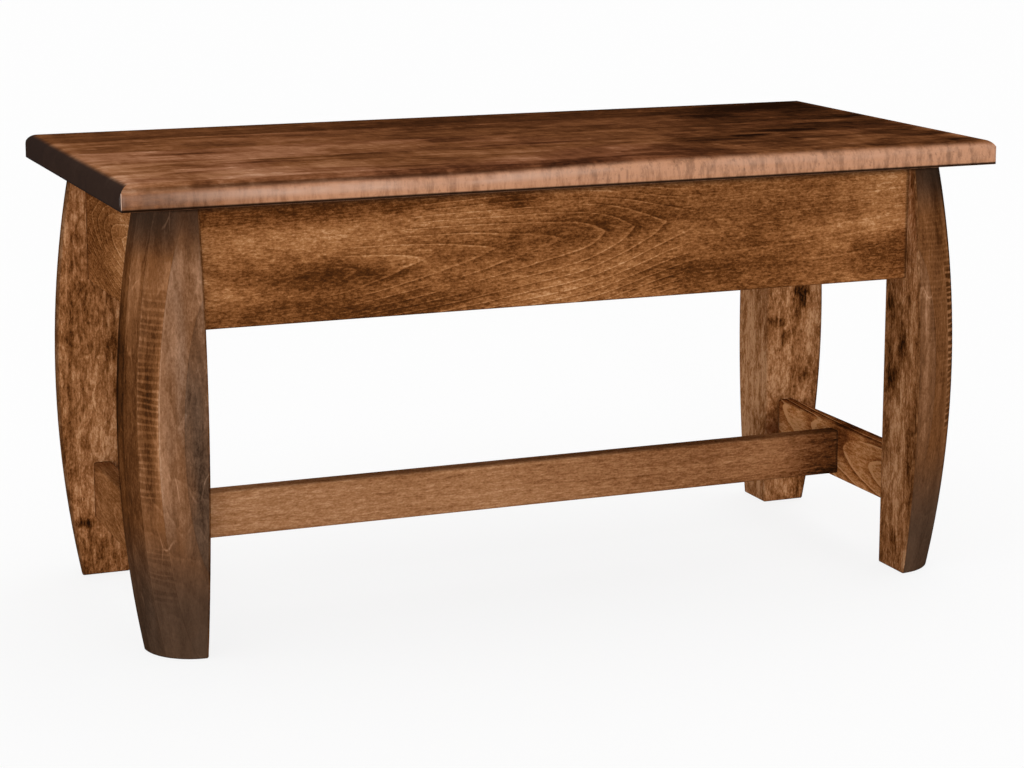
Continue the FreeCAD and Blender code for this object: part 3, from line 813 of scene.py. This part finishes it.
def dress_aprons():
    long_rail = {"axis": X_AXIS, "joint": LEG_INNER_X}
    end_rail = {"axis": Y_AXIS, "joint": LEG_INNER_Y, "direction": (0.1, 1, 0.05)}
    aprons = {
        "apron_front": {
            **long_rail, "seed": 9.0, "tone": 0.52,
            "pith": (0, APRON_FACE + 0.0472, 0.3795), "direction": (1, 0.085, 0.085),
            "smudges": [
                apron_mark(-0.250, 0.357, 0.12, 0.021, 0.36),
                apron_mark(-0.220, 0.322, 0.17, 0.026, 0.16),
                apron_mark(-0.290, 0.390, 0.16, 0.020, -0.12),
                apron_mark(-0.25, 0.419, 0.26, 0.016, 0.30),
                apron_mark(-0.055, 0.417, 0.045, 0.018, 0.30),
                apron_mark(0.115, 0.336, 0.10, 0.022, 0.20),
                apron_mark(0.03, 0.380, 0.18, 0.07, 0.10),
                apron_mark(-0.02, 0.32, 0.20, 0.02, 0.05),
                # Dark at the right end, by the leg: stain and painted shade
                apron_mark(0.355, 0.346, 0.080, 0.038, 0.28),
            ],
        },
        "apron_rear": {
            **long_rail, "seed": 10.0, "tone": 0.46,
            "pith": (0, -APRON_FACE - 0.05, 0.36), "direction": (1, -0.08, 0.03),
        },
        "apron_left": {**end_rail, "seed": 11.0, "tone": 0.50, "pith": (-0.36, 0, 0.38)},
        "apron_right": {**end_rail, "seed": 12.0, "tone": 0.48, "pith": (0.36, 0, 0.37)},
    }
    for node, look in aprons.items():
        dress(node, apron_wood(node + "_wood", **look))


def dress_stretchers():
    stretchers = {
        "stretcher_left": {
            "axis": Y_AXIS, "seed": 13.0, "tone": 0.54, "stain": LEG_STAIN, "grain": 0.6, "joint": LEG_INNER_Y,
            "pith": (-0.37, 0, 0.09), "direction": (0.1, 1, 0.05),
            "figure": {"spacing": 0.009, "gain": 0.10}, "dark": {"end": 0.0, "top": 0.05},
        },
        "stretcher_right": {
            "axis": Y_AXIS, "seed": 14.0, "tone": 0.80, "stain": END_RAIL_STAIN, "grain": 0.8,
            "joint": LEG_INNER_Y, "pith": (0.43, 0, 0.10), "direction": (0.12, 1, 0.1),
            "figure": {"spacing": 0.0075, "gain": 0.55}, "dark": {"end": 0.0, "top": 0.42},
            "smudges": [
                # Painted shade beside the joint with the long stretcher
                stretcher_mark(-0.015, 0.11, 0.035, 0.03, 0.42),
                stretcher_mark(-0.09, 0.075, 0.05, 0.02, -0.10),
                stretcher_mark(0.07, 0.105, 0.04, 0.014, -0.12),
            ],
        },
        "stretcher_long": {
            "axis": X_AXIS, "seed": 15.0, "tone": 0.74, "stain": STRETCHER_STAIN, "grain": 0.60,
            "joint": STRETCHER_INNER, "pith": (0, 0.2, 0.13), "direction": (1, 0.0, 0.04),
            "figure": {"spacing": 0.005, "gain": 0.05}, "dark": {"end": 0.40, "top": 0.12},
        },
    }
    for node, look in stretchers.items():
        dress(node, stretcher_wood(node + "_wood", **look))


def dress_hidden_pieces():
    block = block_wood()
    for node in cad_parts:
        if node.startswith("corner_block"):
            dress(node, block)
    steel = zinc_steel()
    for node in ("leg_screws", "seat_clips", "clip_screws"):
        dress(node, steel)


def add_floor():
    mesh = bpy.data.meshes.new("studio_floor")
    ring = []
    for corner in range(FLOOR_CORNERS):
        turn = 2 * math.pi * corner / FLOOR_CORNERS
        ring.append((FLOOR_RADIUS * math.cos(turn), FLOOR_RADIUS * math.sin(turn), cad_box[0].z))
    mesh.from_pydata(ring, [], [list(range(FLOOR_CORNERS))])
    floor = bpy.data.objects.new("studio_floor", mesh)
    bpy.context.scene.collection.objects.link(floor)
    mesh.materials.append(floor_paper())


def add_lamp(name, strength, angle, azimuth, elevation):
    """A soft distant lamp. Azimuth 0 shines from the front and turns to the right."""
    lamp = bpy.data.lights.new(name, "SUN")
    lamp.energy = strength
    lamp.angle = math.radians(angle)
    holder = bpy.data.objects.new(name, lamp)
    holder.rotation_euler = (math.radians(90 - elevation), 0, math.radians(azimuth))
    bpy.context.scene.collection.objects.link(holder)


def studio_world():
    """Dim even light around the bench, and a white background where the camera, metal or glass sees it."""
    studio = Shader(bpy.data.worlds.new("studio"))
    around = studio.add("ShaderNodeBackground", {"Color": WHITE, "Strength": AROUND_STRENGTH})
    white = studio.add("ShaderNodeBackground", {"Color": WHITE, "Strength": 1.0})
    share = studio.seen()
    both = studio.add("ShaderNodeMixShader", {0: share, 1: around.outputs[0], 2: white.outputs[0]})
    studio.add("ShaderNodeOutputWorld", {"Surface": both.outputs[0]})
    return studio.owner


def add_light():
    for name, lamp in LAMPS.items():
        add_lamp(name, **lamp)
    bpy.context.scene.world = studio_world()


def add_camera():
    lens = bpy.data.cameras.new("photo_camera")
    lens.sensor_width = SENSOR_WIDTH
    lens.lens = FOCAL_PIXELS / IMAGE_WIDTH * SENSOR_WIDTH
    lens.shift_y = CAMERA_SHIFT
    camera = bpy.data.objects.new("photo_camera", lens)
    camera.location = CAMERA_PLACE
    camera.rotation_euler = (math.radians(90 - CAMERA_PITCH), 0, math.radians(-CAMERA_YAW))
    bpy.context.scene.collection.objects.link(camera)
    bpy.context.scene.camera = camera


dress_seat()
dress_legs()
dress_aprons()
dress_stretchers()
dress_hidden_pieces()
add_floor()
add_light()
add_camera()
bpy.context.scene.view_settings.view_transform = "Standard"
